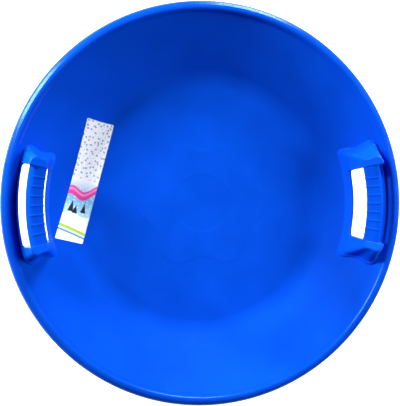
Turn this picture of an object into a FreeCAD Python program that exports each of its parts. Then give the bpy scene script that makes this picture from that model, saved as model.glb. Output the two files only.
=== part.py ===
import FreeCAD
import Part
import math
import os
import Sketcher
from FreeCAD import Placement, Rotation, Vector
from types import SimpleNamespace

# A saucer sled: a moulded dish with a rolled rim and two ribbed grips over slots in its wall.
# Millimetres, +Z up. The origin is the centre of the floor's underside, the grips are on -X and +X.

driving = {
    # dish
    "shell_wall": 2.6,
    "bend_radius": 39.0,
    "wall_angle": 45.0,
    "wall_length": 117.5,  # up the slope, from where floor and wall would meet without the bend
    # rim
    "rim_radius": 300.0,
    "collar_rise": 6.0,
    "collar_step": 2.0,
    "band_width": 10.9,  # from the collar's top to the outer edge
    "band_fall": 3.0,
    "skirt_drop": 12.0,
    "collar_round": 3.0,
    "shoulder_round": 5.0,
    "under_round": 1.0,
    # slots and the raised rails beside them
    "slot_length": 119.0,  # at the middle of the slot's width
    "slot_width": 47.6,  # up the slope
    "slot_to_rim": 14.3,
    "rail_run": 11.6,  # from the inner rail's foot up the slope to the slot
    "rail_rise": 6.0,
    "rail_land": 2.0,
    "rail_hollow": 22.0,  # radius of the inner rail's hollow flank
    "outer_rail_width": 3.5,
    "outer_rail_rise": 4.0,
    # grips
    "grip_lead": 48.3,  # up the slope, from the slot's inner edge to the middle of the bar
    "grip_out": 47.4,  # from the wall to the bar's crown
    "grip_width": 21.3,
    "grip_depth": 14.0,
    "grip_wall": 3.0,
    "grip_round": 9.5,
    "rib_rise": 0.9,
    "rib_width": 2.4,
    "rib_pitch": 12.8,
    "rib_count": 7,
    # posts, from the bar's middle at the top and from the rails at the foot
    "post_cap": 2.1,  # above the bar's crown
    "post_top_below": 5.9,
    "post_top_above": 22.6,
    "post_top_depth": 11.0,
    "post_foot_above": 2.6,  # past the slot's outer edge
    "post_foot_depth": 25.0,
    "post_splay": 4.0,  # how the end side turns away from the slot, up the slope
    "post_foot_dip": 4.0,  # hollow of the end side
    "post_top_dip": 0.3,
    "post_foot_round": 12.0,
    "post_top_round": 8.5,
    "post_edge_round": 2.5,
    "post_foot_flare": 6.0,  # how far the foot's end runs out into the wall
    "post_flare_rise": 14.0,
    "post_wall": 2.6,
    "post_root": 8.0,  # how far the post is drawn below the wall before it is trimmed to it
    # label
    "label_width": 41.0,
    "label_length": 192.0,
    "label_thickness": 0.2,
    "label_gap": 0.05,  # its glue
    "label_round": 2.0,
    "label_inset": 13.9,  # from the unbent corner to the label's middle
    "label_bearing": 10.9,  # of its middle, behind -X
    "label_turn": 15.0,
}


class Size:
    """A length or angle: its number, and the sheet expression that gives it."""

    def __init__(self, number, text):
        self.number = number
        self.text = text

    def __add__(self, other):
        other = as_size(other)
        return Size(self.number + other.number, f"({self.text} + {other.text})")

    def __sub__(self, other):
        other = as_size(other)
        return Size(self.number - other.number, f"({self.text} - {other.text})")

    def __mul__(self, other):
        other = as_size(other)
        return Size(self.number * other.number, f"({self.text} * {other.text})")

    def __truediv__(self, other):
        other = as_size(other)
        return Size(self.number / other.number, f"({self.text} / {other.text})")

    def __neg__(self):
        return Size(-self.number, f"(-{self.text})")


def as_size(value):
    return value if isinstance(value, Size) else Size(float(value), f"{float(value)}")


def sine(angle):
    return Size(math.sin(math.radians(angle.number)), f"sin({angle.text})")


def cosine(angle):
    return Size(math.cos(math.radians(angle.number)), f"cos({angle.text})")


def tangent(angle):
    return Size(math.tan(math.radians(angle.number)), f"tan({angle.text})")


def turn_of(length, radius):
    """The angle in degrees that a length along the rim's direction takes up at a radius."""
    return length / radius * math.degrees(1.0)


doc = FreeCAD.newDocument("saucer_sled")
sheet = doc.addObject("Spreadsheet::Sheet", "Sizes")
for row, (alias, number) in enumerate(driving.items(), start=1):
    sheet.set(f"A{row}", alias)
    sheet.set(f"B{row}", str(number))
    sheet.setAlias(f"B{row}", alias)
doc.recompute()
size = SimpleNamespace(**{alias: Size(number, f"Sizes.{alias}") for alias, number in driving.items()})


def bind(target, values):
    """Ties properties of an object to the sheet."""
    for path, value in values.items():
        target.setExpression(path, value.text)


def new_body(name):
    return doc.addObject("PartDesign::Body", name)


def origin_feature(body, role):
    return next(feature for feature in body.Origin.OriginFeatures if feature.Role == role)


def new_sketch(body, name, plane):
    sketch = body.newObject("Sketcher::SketchObject", name)
    sketch.AttachmentSupport = (origin_feature(body, plane), [""])
    sketch.MapMode = "FlatFace"
    return sketch


def arc_between(start, end, radius, side):
    """The short arc from start to end, with its centre on the left (side 1) or the right (side -1)."""
    chord = end - start
    apothem = math.sqrt(radius**2 - (chord.Length / 2) ** 2)
    left = Vector(-chord.y, chord.x, 0).normalize()
    centre = (start + end) / 2 + left * (apothem * side)
    first, last = (start, end) if side > 0 else (end, start)
    first_angle = math.atan2(first.y - centre.y, first.x - centre.x)
    last_angle = math.atan2(last.y - centre.y, last.x - centre.x)
    if last_angle < first_angle:
        last_angle += 2 * math.pi
    return Part.ArcOfCircle(Part.Circle(centre, Vector(0, 0, 1), radius), first_angle, last_angle)


def draw_outline(sketch, corners, arcs=None):
    """A closed outline through the corners. arcs gives (radius, side) for each corner where one starts."""
    arcs = arcs or {}
    spots = [Vector(across.number, up.number, 0) for across, up in corners]
    ends = []
    for index, start in enumerate(spots):
        end = spots[(index + 1) % len(spots)]
        if index in arcs:
            radius, side = arcs[index]
            edge = sketch.addGeometry(arc_between(start, end, radius.number, side))
            named = sketch.addConstraint(Sketcher.Constraint("Radius", edge, radius.number))
            sketch.renameConstraint(named, f"radius_{index}")
            bind(sketch, {f"Constraints.radius_{index}": radius})
            ends.append((edge, 1, 2) if side > 0 else (edge, 2, 1))
        else:
            edge = sketch.addGeometry(Part.LineSegment(start, end))
            ends.append((edge, 1, 2))
    for index, (edge, first, last) in enumerate(ends):
        next_edge, next_first, next_last = ends[(index + 1) % len(ends)]
        sketch.addConstraint(Sketcher.Constraint("Coincident", edge, last, next_edge, next_first))
    for index, (edge, first, last) in enumerate(ends):
        for kind, word, value in zip(("DistanceX", "DistanceY"), ("across", "up"), corners[index]):
            constraint = Sketcher.Constraint(kind, -1, 1, edge, first, value.number)
            sketch.renameConstraint(sketch.addConstraint(constraint), f"{word}_{index}")
            bind(sketch, {f"Constraints.{word}_{index}": value})


def revolve(body, name, sketch, angle=None):
    """Turns a profile about Z: all the way round, or by an angle centred on the XZ plane."""
    turned = body.newObject(f"PartDesign::{name}", name.lower())
    turned.Profile = sketch
    turned.ReferenceAxis = (sketch, ["V_Axis"])
    turned.Angle = 360.0
    if angle is not None:
        turned.Midplane = True
        bind(turned, {"Angle": angle})
    return turned


def round_edges(body, name, base, radius, edge_wanted):
    """Rounds the edges of the base feature that edge_wanted picks."""
    doc.recompute()
    picked = [f"Edge{i}" for i, edge in enumerate(base.Shape.Edges, start=1) if edge_wanted(edge)]
    rounded = body.newObject("PartDesign::Fillet", name)
    rounded.Base = (base, picked)
    bind(rounded, {"Radius": radius})
    return rounded


def ring_at(spots):
    """Picks full circles about Z that pass through one of the given (radius, height) spots."""

    def wanted(edge):
        point = edge.valueAt(edge.FirstParameter)
        here = (math.hypot(point.x, point.y), point.z)
        return any(math.dist(here, (across.number, up.number)) < 1e-4 for across, up in spots)

    return wanted


# Where things lie on the wall

slope = size.wall_angle
collar_outer = size.rim_radius - size.band_width
corner_radius = collar_outer - size.collar_step - size.wall_length * cosine(slope)
floor_edge = corner_radius - size.bend_radius * tangent(slope / 2)


def on_slope(along, out=0.0):
    """Radius and height of a point up the slope from the unbent corner, and out from the wall."""
    along, out = as_size(along), as_size(out)
    radius = corner_radius + along * cosine(slope) - out * sine(slope)
    height = size.shell_wall + along * sine(slope) + out * cosine(slope)
    return radius, height


def on_bend(radius):
    """The end of a bend of this radius about the bend's own centre, where it meets the wall."""
    return floor_edge + radius * sine(slope), size.shell_wall + size.bend_radius - radius * cosine(slope)


def wall_height(radius):
    """Height of the wall's inner face at a radius."""
    return size.shell_wall + (radius - corner_radius) * tangent(slope)


wall_top = on_slope(size.wall_length)
wall_top_outside = on_slope(size.wall_length, -size.shell_wall)
slot_high = size.wall_length - size.slot_to_rim
slot_low = slot_high - size.slot_width
slot_inner = on_slope(slot_low)[0]
slot_outer = on_slope(slot_high)[0]
slot_half_angle = turn_of(size.slot_length / 2, (slot_inner + slot_outer) / 2)
rail_foot = slot_low - size.rail_run
grip_along = slot_low + size.grip_lead
zero = as_size(0.0)

# Dish: floor, bend and wall turned from one profile, then the two slots


def make_dish_shell():
    body = new_body("dish_shell")
    profile = new_sketch(body, "dish_profile", "XZ_Plane")
    outer_bend = size.bend_radius + size.shell_wall
    corners = [
        (zero, zero),
        (floor_edge, zero),
        on_bend(outer_bend),
        wall_top_outside,
        wall_top,
        on_bend(size.bend_radius),
        (floor_edge, size.shell_wall),
        (zero, size.shell_wall),
    ]
    draw_outline(profile, corners, {1: (outer_bend, 1), 5: (size.bend_radius, -1)})
    revolve(body, "Revolution", profile)

    slot = new_sketch(body, "slot_profile", "XZ_Plane")
    top = wall_top[1]
    draw_outline(slot, [(slot_inner, zero), (slot_outer, zero), (slot_outer, top), (slot_inner, top)])
    cut = revolve(body, "Groove", slot, slot_half_angle * 2)
    both = body.newObject("PartDesign::PolarPattern", "both_slots")
    both.Originals = [cut]
    both.Axis = (origin_feature(body, "Z_Axis"), [""])
    both.Angle = 360.0
    both.Occurrences = 2
    body.Tip = both
    return body


# Rim: collar, crowned band and turned-down skirt


def make_rim():
    body = new_body("rim")
    profile = new_sketch(body, "rim_profile", "XZ_Plane")
    collar_top = (collar_outer, wall_top[1] + size.collar_rise)
    band_slope = size.band_fall / size.band_width
    shoulder = (size.rim_radius, collar_top[1] - size.band_fall)
    skirt_end = (size.rim_radius, shoulder[1] - size.skirt_drop)
    inside_skirt = size.rim_radius - size.shell_wall
    behind_collar = collar_top[0] + size.shell_wall
    skirt_end_inside = (inside_skirt, skirt_end[1])
    under_shoulder = (inside_skirt, shoulder[1] + size.shell_wall * band_slope - size.shell_wall)
    under_collar = (behind_collar, collar_top[1] - size.shell_wall * band_slope - size.shell_wall)
    corners = [
        wall_top,
        collar_top,
        shoulder,
        skirt_end,
        skirt_end_inside,
        under_shoulder,
        under_collar,
        wall_top_outside,
    ]
    draw_outline(profile, corners)
    turned = revolve(body, "Revolution", profile)
    crowned = round_edges(body, "collar_round", turned, size.collar_round, ring_at([collar_top]))
    rolled = round_edges(body, "shoulder_round", crowned, size.shoulder_round, ring_at([shoulder]))
    small = [skirt_end, skirt_end_inside, under_shoulder, under_collar]
    round_edges(body, "under_rounds", rolled, size.under_round, ring_at(small))
    return body


# Rails: low raised edges along the slot, from post to post


def make_rail(name, corners, arcs=None):
    body = new_body(name)
    profile = new_sketch(body, f"{name}_profile", "XZ_Plane")
    draw_outline(profile, corners, arcs)
    revolve(body, "Revolution", profile, slot_half_angle * 2)
    return body


def make_inner_rail():
    base = wall_height(slot_inner)
    top = base + size.rail_rise
    land = slot_inner - size.rail_land
    corners = [on_slope(rail_foot), (slot_inner, base), (slot_inner, top), (land, top)]
    return make_rail("right_inner_rail", corners, {3: (size.rail_hollow, -1)})


def make_outer_rail():
    base = wall_height(slot_outer)
    far = slot_outer + size.outer_rail_width
    corners = [(slot_outer, base), (far, wall_height(far)), (slot_outer, base + size.outer_rail_rise)]
    return make_rail("right_outer_rail", corners)


# Posts: drafted towers that stand on the wall at the ends of the slot, hollow from below


post_height = size.grip_out + size.post_cap


def between(foot, top, out):
    """A size that runs evenly from the post's foot to its top."""
    return foot + (top - foot) * out / post_height


def post_section(out, flare, inset, slot_inset):
    """The post's section at a distance out from the wall: corners and arcs.

    flare widens the end that runs out into the wall. inset draws in all sides but the one along the slot,
    which has its own.
    """
    up_slope = as_size(1.0) / sine(slope)
    low = between(rail_foot, grip_along - size.post_top_below, out) + inset * up_slope
    foot_high = slot_high + size.post_foot_above
    high = between(foot_high, grip_along + size.post_top_above, out) - inset * up_slope
    depth = between(size.post_foot_depth, size.post_top_depth, out) - inset + flare
    bend = between(size.post_foot_round, size.post_top_round, out) - inset
    dip = between(size.post_foot_dip, size.post_top_dip, out)
    splay = size.post_splay
    splayed = depth + (high - low) * tangent(splay)
    low_run = bend * tangent((as_size(90.0) - splay) / 2)
    high_run = bend * tangent((as_size(90.0) + splay) / 2)
    corners = [
        (low, slot_inset),
        (high, slot_inset),
        (high, splayed - high_run),
        (high - high_run * cosine(splay), splayed - high_run * sine(splay)),
        (low + low_run * cosine(splay), depth + low_run * sine(splay)),
        (low, depth - low_run),
    ]
    chord = (corners[3][0] - corners[4][0]) / cosine(splay)
    hollow = chord * chord / (dip * 8) + dip / 2
    return corners, {2: (bend, 1), 3: (hollow, -1), 4: (bend, 1)}


def section_sketch(body, name, section):
    """A sketch of that section, on a plane that leans like the wall."""
    out = section[0]
    sketch = new_sketch(body, name, "XY_Plane")
    base = on_slope(0.0, out)
    tilt = Rotation(Vector(0, -1, 0), slope.number)
    sketch.AttachmentOffset = Placement(Vector(base[0].number, 0, base[1].number), tilt)
    bind(
        sketch,
        {
            "AttachmentOffset.Base.x": base[0],
            "AttachmentOffset.Base.z": base[1],
            "AttachmentOffset.Rotation.Angle": slope,
        },
    )
    draw_outline(sketch, *post_section(*section))
    return sketch


def make_tower(name, sections):
    """A ruled loft through sections, as post_section takes them, beside the slot's end."""
    body = new_body(name)
    sketches = [section_sketch(body, f"{name}_{i}", section) for i, section in enumerate(sections)]
    loft = body.newObject("PartDesign::AdditiveLoft", f"{name}_loft")
    loft.Profile = sketches[0]
    loft.Sections = sketches[1:]
    loft.Ruled = True
    body.Placement = Placement(Vector(), Rotation(Vector(0, 0, 1), slot_half_angle.number))
    bind(body, {"Placement.Rotation.Angle": slot_half_angle})
    return body


def make_post():
    root = -size.post_root
    one = as_size(1.0)
    rise = size.post_flare_rise
    sections = []
    for out in (root, zero, rise / 3, rise * 2 / 3, rise):
        rest = one - out / rise
        sections.append((out, size.post_foot_flare * rest * rest, zero, zero))
    for degrees in (0.0, 30.0, 60.0, 90.0):
        turn = as_size(degrees)
        out = post_height - size.post_edge_round * (one - sine(turn))
        sections.append((out, zero, size.post_edge_round * (one - cosine(turn)), zero))
    body = make_tower("post_shell", sections)
    seat = new_sketch(body, "seat_profile", "XZ_Plane")
    buried = post_section(*sections[0])[0]
    low = buried[0][0] - size.post_root
    high = buried[1][0] + size.post_root
    draw_outline(seat, [on_slope(low), on_slope(low, root * 2), on_slope(high, root * 2), on_slope(high)])
    revolve(body, "Groove", seat, slot_half_angle * 4)
    wall = size.post_wall
    core = make_tower("post_core", [(root, zero, wall, wall), (post_height - wall, zero, wall, wall)])
    post = doc.addObject("Part::Cut", "right_rear_post")
    post.Base = body
    post.Tool = core
    return post, core


def mirrored(source, name, normal):
    copy = doc.addObject("Part::Mirroring", name)
    copy.Source = source
    copy.Normal = normal
    return copy


across_middle = Vector(1, 0, 0)
front_to_rear = Vector(0, 1, 0)

# Grips: bars with a rounded crown, open below, and raised ribs round them


def channel(rise):
    """The bar's section: outside grown by a rise, inside at the grip's wall."""
    half = size.grip_width / 2
    foot = size.grip_out - size.grip_depth
    shoulder = size.grip_out - size.grip_round
    bend = size.grip_round - size.grip_wall
    outside = half + rise
    inside = half - size.grip_wall
    crown = size.grip_out + rise
    ceiling = size.grip_out - size.grip_wall
    flat = half - size.grip_round
    spots = [
        (-outside, foot),
        (-outside, shoulder),
        (-flat, crown),
        (flat, crown),
        (outside, shoulder),
        (outside, foot),
        (inside, foot),
        (inside, shoulder),
        (flat, ceiling),
        (-flat, ceiling),
        (-inside, shoulder),
        (-inside, foot),
    ]
    outer_bend = size.grip_round + rise
    arcs = {1: (outer_bend, -1), 3: (outer_bend, -1), 7: (bend, 1), 9: (bend, 1)}
    return [on_slope(grip_along + along, out) for along, out in spots], arcs


def make_grip():
    body = new_body("right_grip")
    bar = new_sketch(body, "bar_profile", "XZ_Plane")
    draw_outline(bar, *channel(zero))
    revolve(body, "Revolution", bar, slot_half_angle * 2)

    radius = on_slope(grip_along, size.grip_out)[0]
    spread = turn_of(size.rib_pitch, radius) * (size.rib_count - 1)
    rib = new_sketch(body, "rib_profile", "XZ_Plane")
    rib.AttachmentOffset = Placement(Vector(), Rotation(Vector(0, 1, 0), spread.number / 2))
    bind(rib, {"AttachmentOffset.Rotation.Angle": spread / 2})
    draw_outline(rib, *channel(size.rib_rise))
    first = revolve(body, "Revolution", rib, turn_of(size.rib_width, radius))
    ribs = body.newObject("PartDesign::PolarPattern", "ribs")
    ribs.Originals = [first]
    ribs.Axis = (origin_feature(body, "Z_Axis"), [""])
    ribs.Reversed = True
    bind(ribs, {"Angle": spread, "Occurrences": size.rib_count})
    body.Tip = ribs
    return body


# Label: a thin skin over floor, bend and wall, cut to a turned rectangle


def make_label():
    skin = new_body("label_skin")
    profile = new_sketch(skin, "label_profile", "XZ_Plane")
    under = size.label_gap
    over = size.label_gap + size.label_thickness
    corners = [
        (zero, size.shell_wall + under),
        (floor_edge, size.shell_wall + under),
        on_bend(size.bend_radius - under),
        on_slope(rail_foot, under),
        on_slope(rail_foot, over),
        on_bend(size.bend_radius - over),
        (floor_edge, size.shell_wall + over),
        (zero, size.shell_wall + over),
    ]
    arcs = {1: (size.bend_radius - under, 1), 5: (size.bend_radius - over, -1)}
    draw_outline(profile, corners, arcs)
    revolve(skin, "Revolution", profile)

    outline = new_body("label_outline")
    rectangle = new_sketch(outline, "label_rectangle", "XY_Plane")
    wide = size.label_width / 2
    long = size.label_length / 2
    draw_outline(rectangle, [(-wide, -long), (wide, -long), (wide, long), (-wide, long)])
    pad = outline.newObject("PartDesign::Pad", "label_pad")
    pad.Profile = rectangle
    bind(pad, {"Length": wall_top[1]})

    def upright(edge):
        ends = [vertex.Point for vertex in edge.Vertexes]
        return math.hypot(ends[0].x - ends[1].x, ends[0].y - ends[1].y) < 1e-6

    round_edges(outline, "label_corners", pad, size.label_round, upright)
    middle = corner_radius - size.label_inset
    left = middle * cosine(size.label_bearing)
    rear = middle * sine(size.label_bearing)
    outline.Placement = Placement(
        Vector(-left.number, rear.number, 0),
        Rotation(Vector(0, 0, -1), size.label_turn.number),
    )
    bind(
        outline,
        {
            "Placement.Base.x": -left,
            "Placement.Base.y": rear,
            "Placement.Rotation.Angle": size.label_turn,
        },
    )
    label = doc.addObject("Part::Common", "label")
    label.Base = skin
    label.Tool = outline
    return label


def assemble():
    """Builds every sub-part and gives them by name."""
    right_rear, core = make_post()
    right_front = mirrored(right_rear, "right_front_post", front_to_rear)
    pieces = [right_rear, right_front]
    cores = [core, mirrored(core, "right_front_core", front_to_rear)]
    for source, name in ((right_rear, "left_rear_post"), (right_front, "left_front_post")):
        pieces.append(mirrored(source, name, across_middle))
    for source, name in zip(list(cores), ("left_rear_core", "left_front_core")):
        cores.append(mirrored(source, name, across_middle))
    for piece, name in (
        (make_grip(), "left_grip"),
        (make_inner_rail(), "left_inner_rail"),
        (make_outer_rail(), "left_outer_rail"),
    ):
        pieces += [piece, mirrored(piece, name, across_middle)]
    hollows = doc.addObject("Part::MultiFuse", "post_hollows")
    hollows.Shapes = cores
    dish = doc.addObject("Part::Cut", "dish")
    dish.Base = make_dish_shell()
    dish.Tool = hollows
    return pieces + [dish, make_rim(), make_label()]


pieces = assemble()
doc.recompute()

failed = [item.Name for item in doc.Objects if {"Invalid", "Error"} & set(item.State)]
if failed:
    raise RuntimeError(f"these objects failed: {failed}")
for piece in pieces:
    piece.Label = piece.Name
    if piece.Shape.isNull() or not piece.Shape.isValid():
        raise RuntimeError(f"{piece.Label} has no valid shape")

os.makedirs("parts", exist_ok=True)
for piece in pieces:
    piece.Shape.exportStep(f"parts/{piece.Label}.step")
    print(piece.Label, len(piece.Shape.Solids), "solid,", round(piece.Shape.Volume / 1000, 2), "cm3")
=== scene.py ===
import math

import bpy
import numpy as np
from mathutils import Matrix, Vector


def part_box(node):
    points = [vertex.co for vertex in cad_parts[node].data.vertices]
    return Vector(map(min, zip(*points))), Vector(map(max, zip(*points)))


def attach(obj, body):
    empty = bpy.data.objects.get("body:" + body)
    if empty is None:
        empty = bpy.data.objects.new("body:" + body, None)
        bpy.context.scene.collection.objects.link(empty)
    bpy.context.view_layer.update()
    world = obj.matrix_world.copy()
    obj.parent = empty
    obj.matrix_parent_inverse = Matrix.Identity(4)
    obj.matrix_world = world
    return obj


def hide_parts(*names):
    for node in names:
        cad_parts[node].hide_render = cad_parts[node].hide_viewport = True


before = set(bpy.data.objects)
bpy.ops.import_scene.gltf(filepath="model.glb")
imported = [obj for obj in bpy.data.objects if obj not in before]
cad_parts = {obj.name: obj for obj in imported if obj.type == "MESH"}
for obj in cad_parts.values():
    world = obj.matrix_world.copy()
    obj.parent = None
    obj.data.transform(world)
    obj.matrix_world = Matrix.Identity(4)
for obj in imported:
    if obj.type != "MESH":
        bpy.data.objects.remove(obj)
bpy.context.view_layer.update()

print("frame loaded with", len(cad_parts), "solids")


# Quads of a grid of points kept row by row, each quad running down the rows and then along the columns.
# closedRows joins the last row to the first, closedColumns the last column to the first.
def gridQuads(rows, columns, closedRows=False, closedColumns=False):
    down = np.arange(rows if closedRows else rows - 1)[:, None]
    along = np.arange(columns if closedColumns else columns - 1)[None, :]
    nextDown = (down + 1) % rows * columns
    nextAlong = (along + 1) % columns
    here = down * columns
    quads = np.stack([here + along, nextDown + along, nextDown + nextAlong, here + nextAlong], axis=-1)
    return quads.reshape(-1, 4)


# Triangles that join one point to a closed ring of points that follow each other in the list
def fanTriangles(centre, first, count):
    ring = np.arange(count)
    return np.stack([np.full(count, centre), first + ring, first + (ring + 1) % count], axis=-1)


# Faces of closed rings stacked row by row, shut by a fan at each end. The middles of the first and of the
# last ring follow the rings in the list of points.
def closedFaces(rows, columns):
    count = rows * columns
    first = fanTriangles(count, 0, columns)[:, ::-1]
    last = fanTriangles(count + 1, count - columns, columns)
    return [gridQuads(rows, columns, closedColumns=True)[:, ::-1], first, last]


# Six times the volume inside the faces, negative where they point inwards: the sum over all triangles of
# the first corner dotted with the cross product of the other two
def volumeSign(points, faces):
    first = points[faces[:, 0]]
    total = 0.0
    for k in range(1, faces.shape[1] - 1):
        total += np.einsum("ij,ij->", first, np.cross(points[faces[:, k]], points[faces[:, k + 1]]))
    return total


# Puts points and faces into a smooth-shaded mesh object that rides on the sled and takes the given material
def makePiece(name, points, faceGroups, material, replaced, sharpDegrees=38.0):
    if sum(volumeSign(points, faces) for faces in faceGroups) < 0:
        faceGroups = [faces[:, ::-1] for faces in faceGroups]
    faces = [face for group in faceGroups for face in group.tolist()]
    mesh = bpy.data.meshes.new(name)
    mesh.from_pydata(points.tolist(), [], faces)
    mesh.shade_smooth()
    mesh.set_sharp_from_angle(angle=math.radians(sharpDegrees))
    mesh.materials.append(material)
    piece = bpy.data.objects.new(name, mesh)
    bpy.context.scene.collection.objects.link(piece)
    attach(piece, "root")
    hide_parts(*replaced)
    print("piece", name, "has", len(points), "points")
    return piece


# A closed outline with rounded corners: an arc of each corner's radius from one side to the next, and equal
# steps along the straight between two arcs, which bows inwards by a raised cosine of the given depth
def roundedLoop(corners, radii, bows, arcSteps, sideSteps):
    corners = np.asarray(corners, float)
    radii = np.asarray(radii, float)[:, None]
    back = np.roll(corners, 1, axis=0) - corners
    back /= np.linalg.norm(back, axis=1, keepdims=True)
    ahead = np.roll(corners, -1, axis=0) - corners
    ahead /= np.linalg.norm(ahead, axis=1, keepdims=True)
    half = 0.5 * np.arccos(np.clip((back * ahead).sum(axis=1, keepdims=True), -1.0, 1.0))
    middle = back + ahead
    middle /= np.linalg.norm(middle, axis=1, keepdims=True)
    centre = corners + middle * radii / np.sin(half)
    start = corners + back * radii / np.tan(half)
    end = corners + ahead * radii / np.tan(half)
    sweep = (np.pi - 2.0 * half)[:, :, None]
    share = np.linspace(0.0, 1.0, arcSteps)[None, :, None]
    fromStart = np.sin((1.0 - share) * sweep) * (start - centre)[:, None, :]
    fromEnd = np.sin(share * sweep) * (end - centre)[:, None, :]
    arcs = centre[:, None, :] + (fromStart + fromEnd) / np.sin(sweep)
    share = np.linspace(0.0, 1.0, sideSteps + 2)[None, 1:-1, None]
    nextStart = np.roll(start, -1, axis=0)
    sides = end[:, None, :] * (1.0 - share) + nextStart[:, None, :] * share
    inwards = np.stack([-ahead[:, 1], ahead[:, 0]], axis=-1)[:, None, :]
    bows = np.asarray(bows, float)[:, None, None]
    sides = sides + inwards * bows * 0.5 * (1.0 - np.cos(2.0 * np.pi * share))
    return np.concatenate([arcs, sides], axis=1).reshape(-1, 2)


sharpCorner = 1e-5  # rounding of a corner that stays sharp

# Sizes that several pieces share, in metres, from the boxes of the solids
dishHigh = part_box("dish")[1]
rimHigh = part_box("rim")[1]
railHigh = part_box("right_inner_rail")[1]
bowl = {
    "wall": 0.0026,
    "bend": 0.039,  # inner radius between floor and wall
    "slope": math.radians(45.0),
    "slotWidth": 0.0476,  # up the slope
    "slotHalf": math.radians(12.45),  # half the turn that a slot takes up
}
slopeCos = math.cos(bowl["slope"])
slopeSin = math.sin(bowl["slope"])
wallTopRadius = dishHigh.x - bowl["wall"] * slopeSin
wallTopHeight = dishHigh.z
wallLength = (wallTopHeight - bowl["wall"]) / slopeSin
cornerRadius = wallTopRadius - wallLength * slopeCos
floorEdge = cornerRadius - bowl["bend"] * math.tan(bowl["slope"] / 2)
bendEnd = floorEdge + bowl["bend"] * slopeSin
slotInner = railHigh.x
slotLow = (slotInner - cornerRadius) / slopeCos
slotHigh = slotLow + bowl["slotWidth"]
slotOuter = cornerRadius + slotHigh * slopeCos
slotHalf = bowl["slotHalf"]


# Radius and height of a point that lies up the slope from the unbent corner and out from the wall
def onSlope(along, out):
    radius = cornerRadius + along * slopeCos - out * slopeSin
    height = bowl["wall"] + along * slopeSin + out * slopeCos
    return radius, height


# Height of the inner face above the floor plane: flat, then the bend's circle, then the straight slope
def innerHeight(radius):
    onBend = np.clip(radius - floorEdge, 0.0, bendEnd - floorEdge)
    height = bowl["wall"] + bowl["bend"] - np.sqrt(bowl["bend"] ** 2 - onBend**2)
    return height + np.maximum(radius - bendEnd, 0.0) * math.tan(bowl["slope"])


# Points at radius, turn about the upright axis and height
def turned(radius, angle, height):
    radius, angle, height = np.broadcast_arrays(radius, angle, height)
    return np.stack([radius * np.cos(angle), radius * np.sin(angle), height], axis=-1)


# Steps from each mark to the next, given as (mark, count of steps that lead to it)
def stepsThrough(first, *marks):
    runs = []
    start = first
    for mark, count in marks:
        runs.append(np.linspace(start, mark, count, endpoint=False))
        start = mark
    return np.append(np.concatenate(runs), start)


# Nodes of a material, linked from left to right
class Finish:
    def __init__(self, name):
        self.material = bpy.data.materials.new(name)
        self.material.use_nodes = True
        self.tree = self.material.node_tree
        self.shader = self.tree.nodes["Principled BSDF"]

    def put(self, socket, value):
        if isinstance(value, bpy.types.NodeSocket):
            self.tree.links.new(value, socket)
        else:
            socket.default_value = value

    def add(self, kind, values=None, **settings):
        node = self.tree.nodes.new(kind)
        for key, value in settings.items():
            setattr(node, key, value)
        for key, value in (values or {}).items():
            self.put(node.inputs[key], value)
        return node

    def math(self, operation, first, second=0.0):
        return self.add("ShaderNodeMath", {0: first, 1: second}, operation=operation).outputs[0]

    def noise(self, place, scale, detail=2.0):
        values = {"Vector": place, "Scale": scale, "Detail": detail}
        return self.add("ShaderNodeTexNoise", values).outputs["Fac"]

    def mapped(self, value, low, high, toLow, toHigh):
        values = {0: value, 1: low, 2: high, 3: toLow, 4: toHigh}
        return self.add("ShaderNodeMapRange", values).outputs[0]

    def mix(self, share, first, second):
        # Sockets 6 and 7 and output 2 are those of a mix of colours
        return self.add("ShaderNodeMix", {0: share, 6: first, 7: second}, data_type="RGBA").outputs[2]

    def link(self, output, name):
        self.tree.links.new(output, self.shader.inputs[name])


bluePlasticLook = {
    "deep": (0.0012, 0.057, 0.52, 1.0),
    "bright": (0.0018, 0.067, 0.59, 1.0),
    "cloud": 14.0,  # scale of the cloudiness, of the patches in the gloss and of the grain
    "patch": 42.0,
    "grain": 1500.0,
    "grainDepth": 0.0004,
    "spread": (0.3, 0.7),  # span of the noise that is used
    "sheen": (0.40, 0.90, 1.0, 1.0),  # tint of the highlights
    # The dish is satin and the rim is glossy. The posts and inner rails are a paler copy of the blue, painted
    # light on their steep faces, and the bars and outer rails are matt and a slightly darker copy, painted
    # shade
    "dish": {"tone": 1.0, "gloss": 0.012, "roughLow": 0.40, "roughHigh": 0.50, "bump": 0.05},
    "trim": {"tone": 1.0, "gloss": 0.300, "roughLow": 0.18, "roughHigh": 0.24, "bump": 0.015},
    "paintedLight": {"tone": 1.25, "gloss": 0.060, "roughLow": 0.20, "roughHigh": 0.26, "bump": 0.015},
    # The bars' tone below one is painted shade
    "grip": {"tone": 0.95, "gloss": 0.0, "roughLow": 0.35, "roughHigh": 0.45, "bump": 0.02},
}


# Moulded polythene: a faint cloudiness in the colour, a fine grain, and a gloss that varies in patches
def makeBluePlastic(name, part):
    look = bluePlasticLook
    surface = look[part]
    # A tone above one paints light onto the posts and rails, and a tone below one paints shade onto the bars
    tone = surface["tone"]
    deep, bright = [[level * tone for level in look[shade][:3]] + [1.0] for shade in ("deep", "bright")]
    finish = Finish(name)
    place = finish.add("ShaderNodeTexCoord").outputs["Object"]
    tint = finish.mapped(finish.noise(place, look["cloud"]), *look["spread"], 0.0, 1.0)
    finish.link(finish.mix(tint, deep, bright), "Base Color")
    patch = finish.noise(place, look["patch"], detail=4.0)
    rough = finish.mapped(patch, *look["spread"], surface["roughLow"], surface["roughHigh"])
    finish.link(rough, "Roughness")
    grain = finish.noise(place, look["grain"])
    values = {"Strength": surface["bump"], "Distance": look["grainDepth"], "Height": grain}
    finish.link(finish.add("ShaderNodeBump", values).outputs[0], "Normal")
    finish.shader.inputs["Specular IOR Level"].default_value = surface["gloss"]
    finish.shader.inputs["Specular Tint"].default_value = look["sheen"]
    return finish.material


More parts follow.
